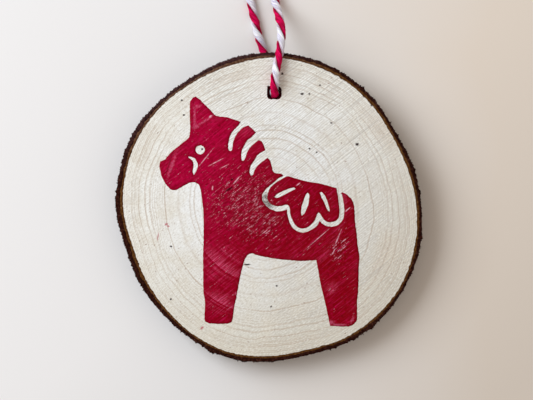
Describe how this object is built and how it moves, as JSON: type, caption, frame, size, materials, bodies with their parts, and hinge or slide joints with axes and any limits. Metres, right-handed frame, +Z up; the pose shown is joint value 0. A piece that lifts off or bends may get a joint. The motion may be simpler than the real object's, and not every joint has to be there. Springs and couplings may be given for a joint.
{
  "type": "printed wood slice horse ornament",
  "caption": "Flat round ornament: a sawn branch slice with its bark, a folk horse block-printed in red on its face, and a tied loop of red and white twine through a drilled hole.",
  "frame": {"origin": "middle of the slice's outline, on the surface it lies on", "axes": "+Z up out of the printed face, +Y towards the drilled hole and the twine, +X to the right of the face"},
  "size_m": [0.0777, 0.1571, 0.0128],
  "materials": {
    "wood": "raw sawn end grain, matt",
    "bark": "rough dry bark",
    "ink": "thin block-printing ink, satin",
    "twine": "two-ply cotton, one red ply and one white"
  },
  "bodies": {
    "slice": {"wood_disc": "wood", "bark_ring": "bark", "horse_print": "ink", "saddle_print": "ink"},
    "twine": {"twine_front_run": "twine", "twine_back_run": "twine", "twine_knot": "twine", "twine_tail_a": "twine", "twine_tail_b": "twine"}
  },
  "joints": [
    {"name": "twine_swing", "type": "hinge", "parent": "slice", "child": "twine", "pos_m": [0.0015, 0.02882, 0.0063], "axis": [0, 0, 1], "range_deg": [-20, 20]}
  ]
}
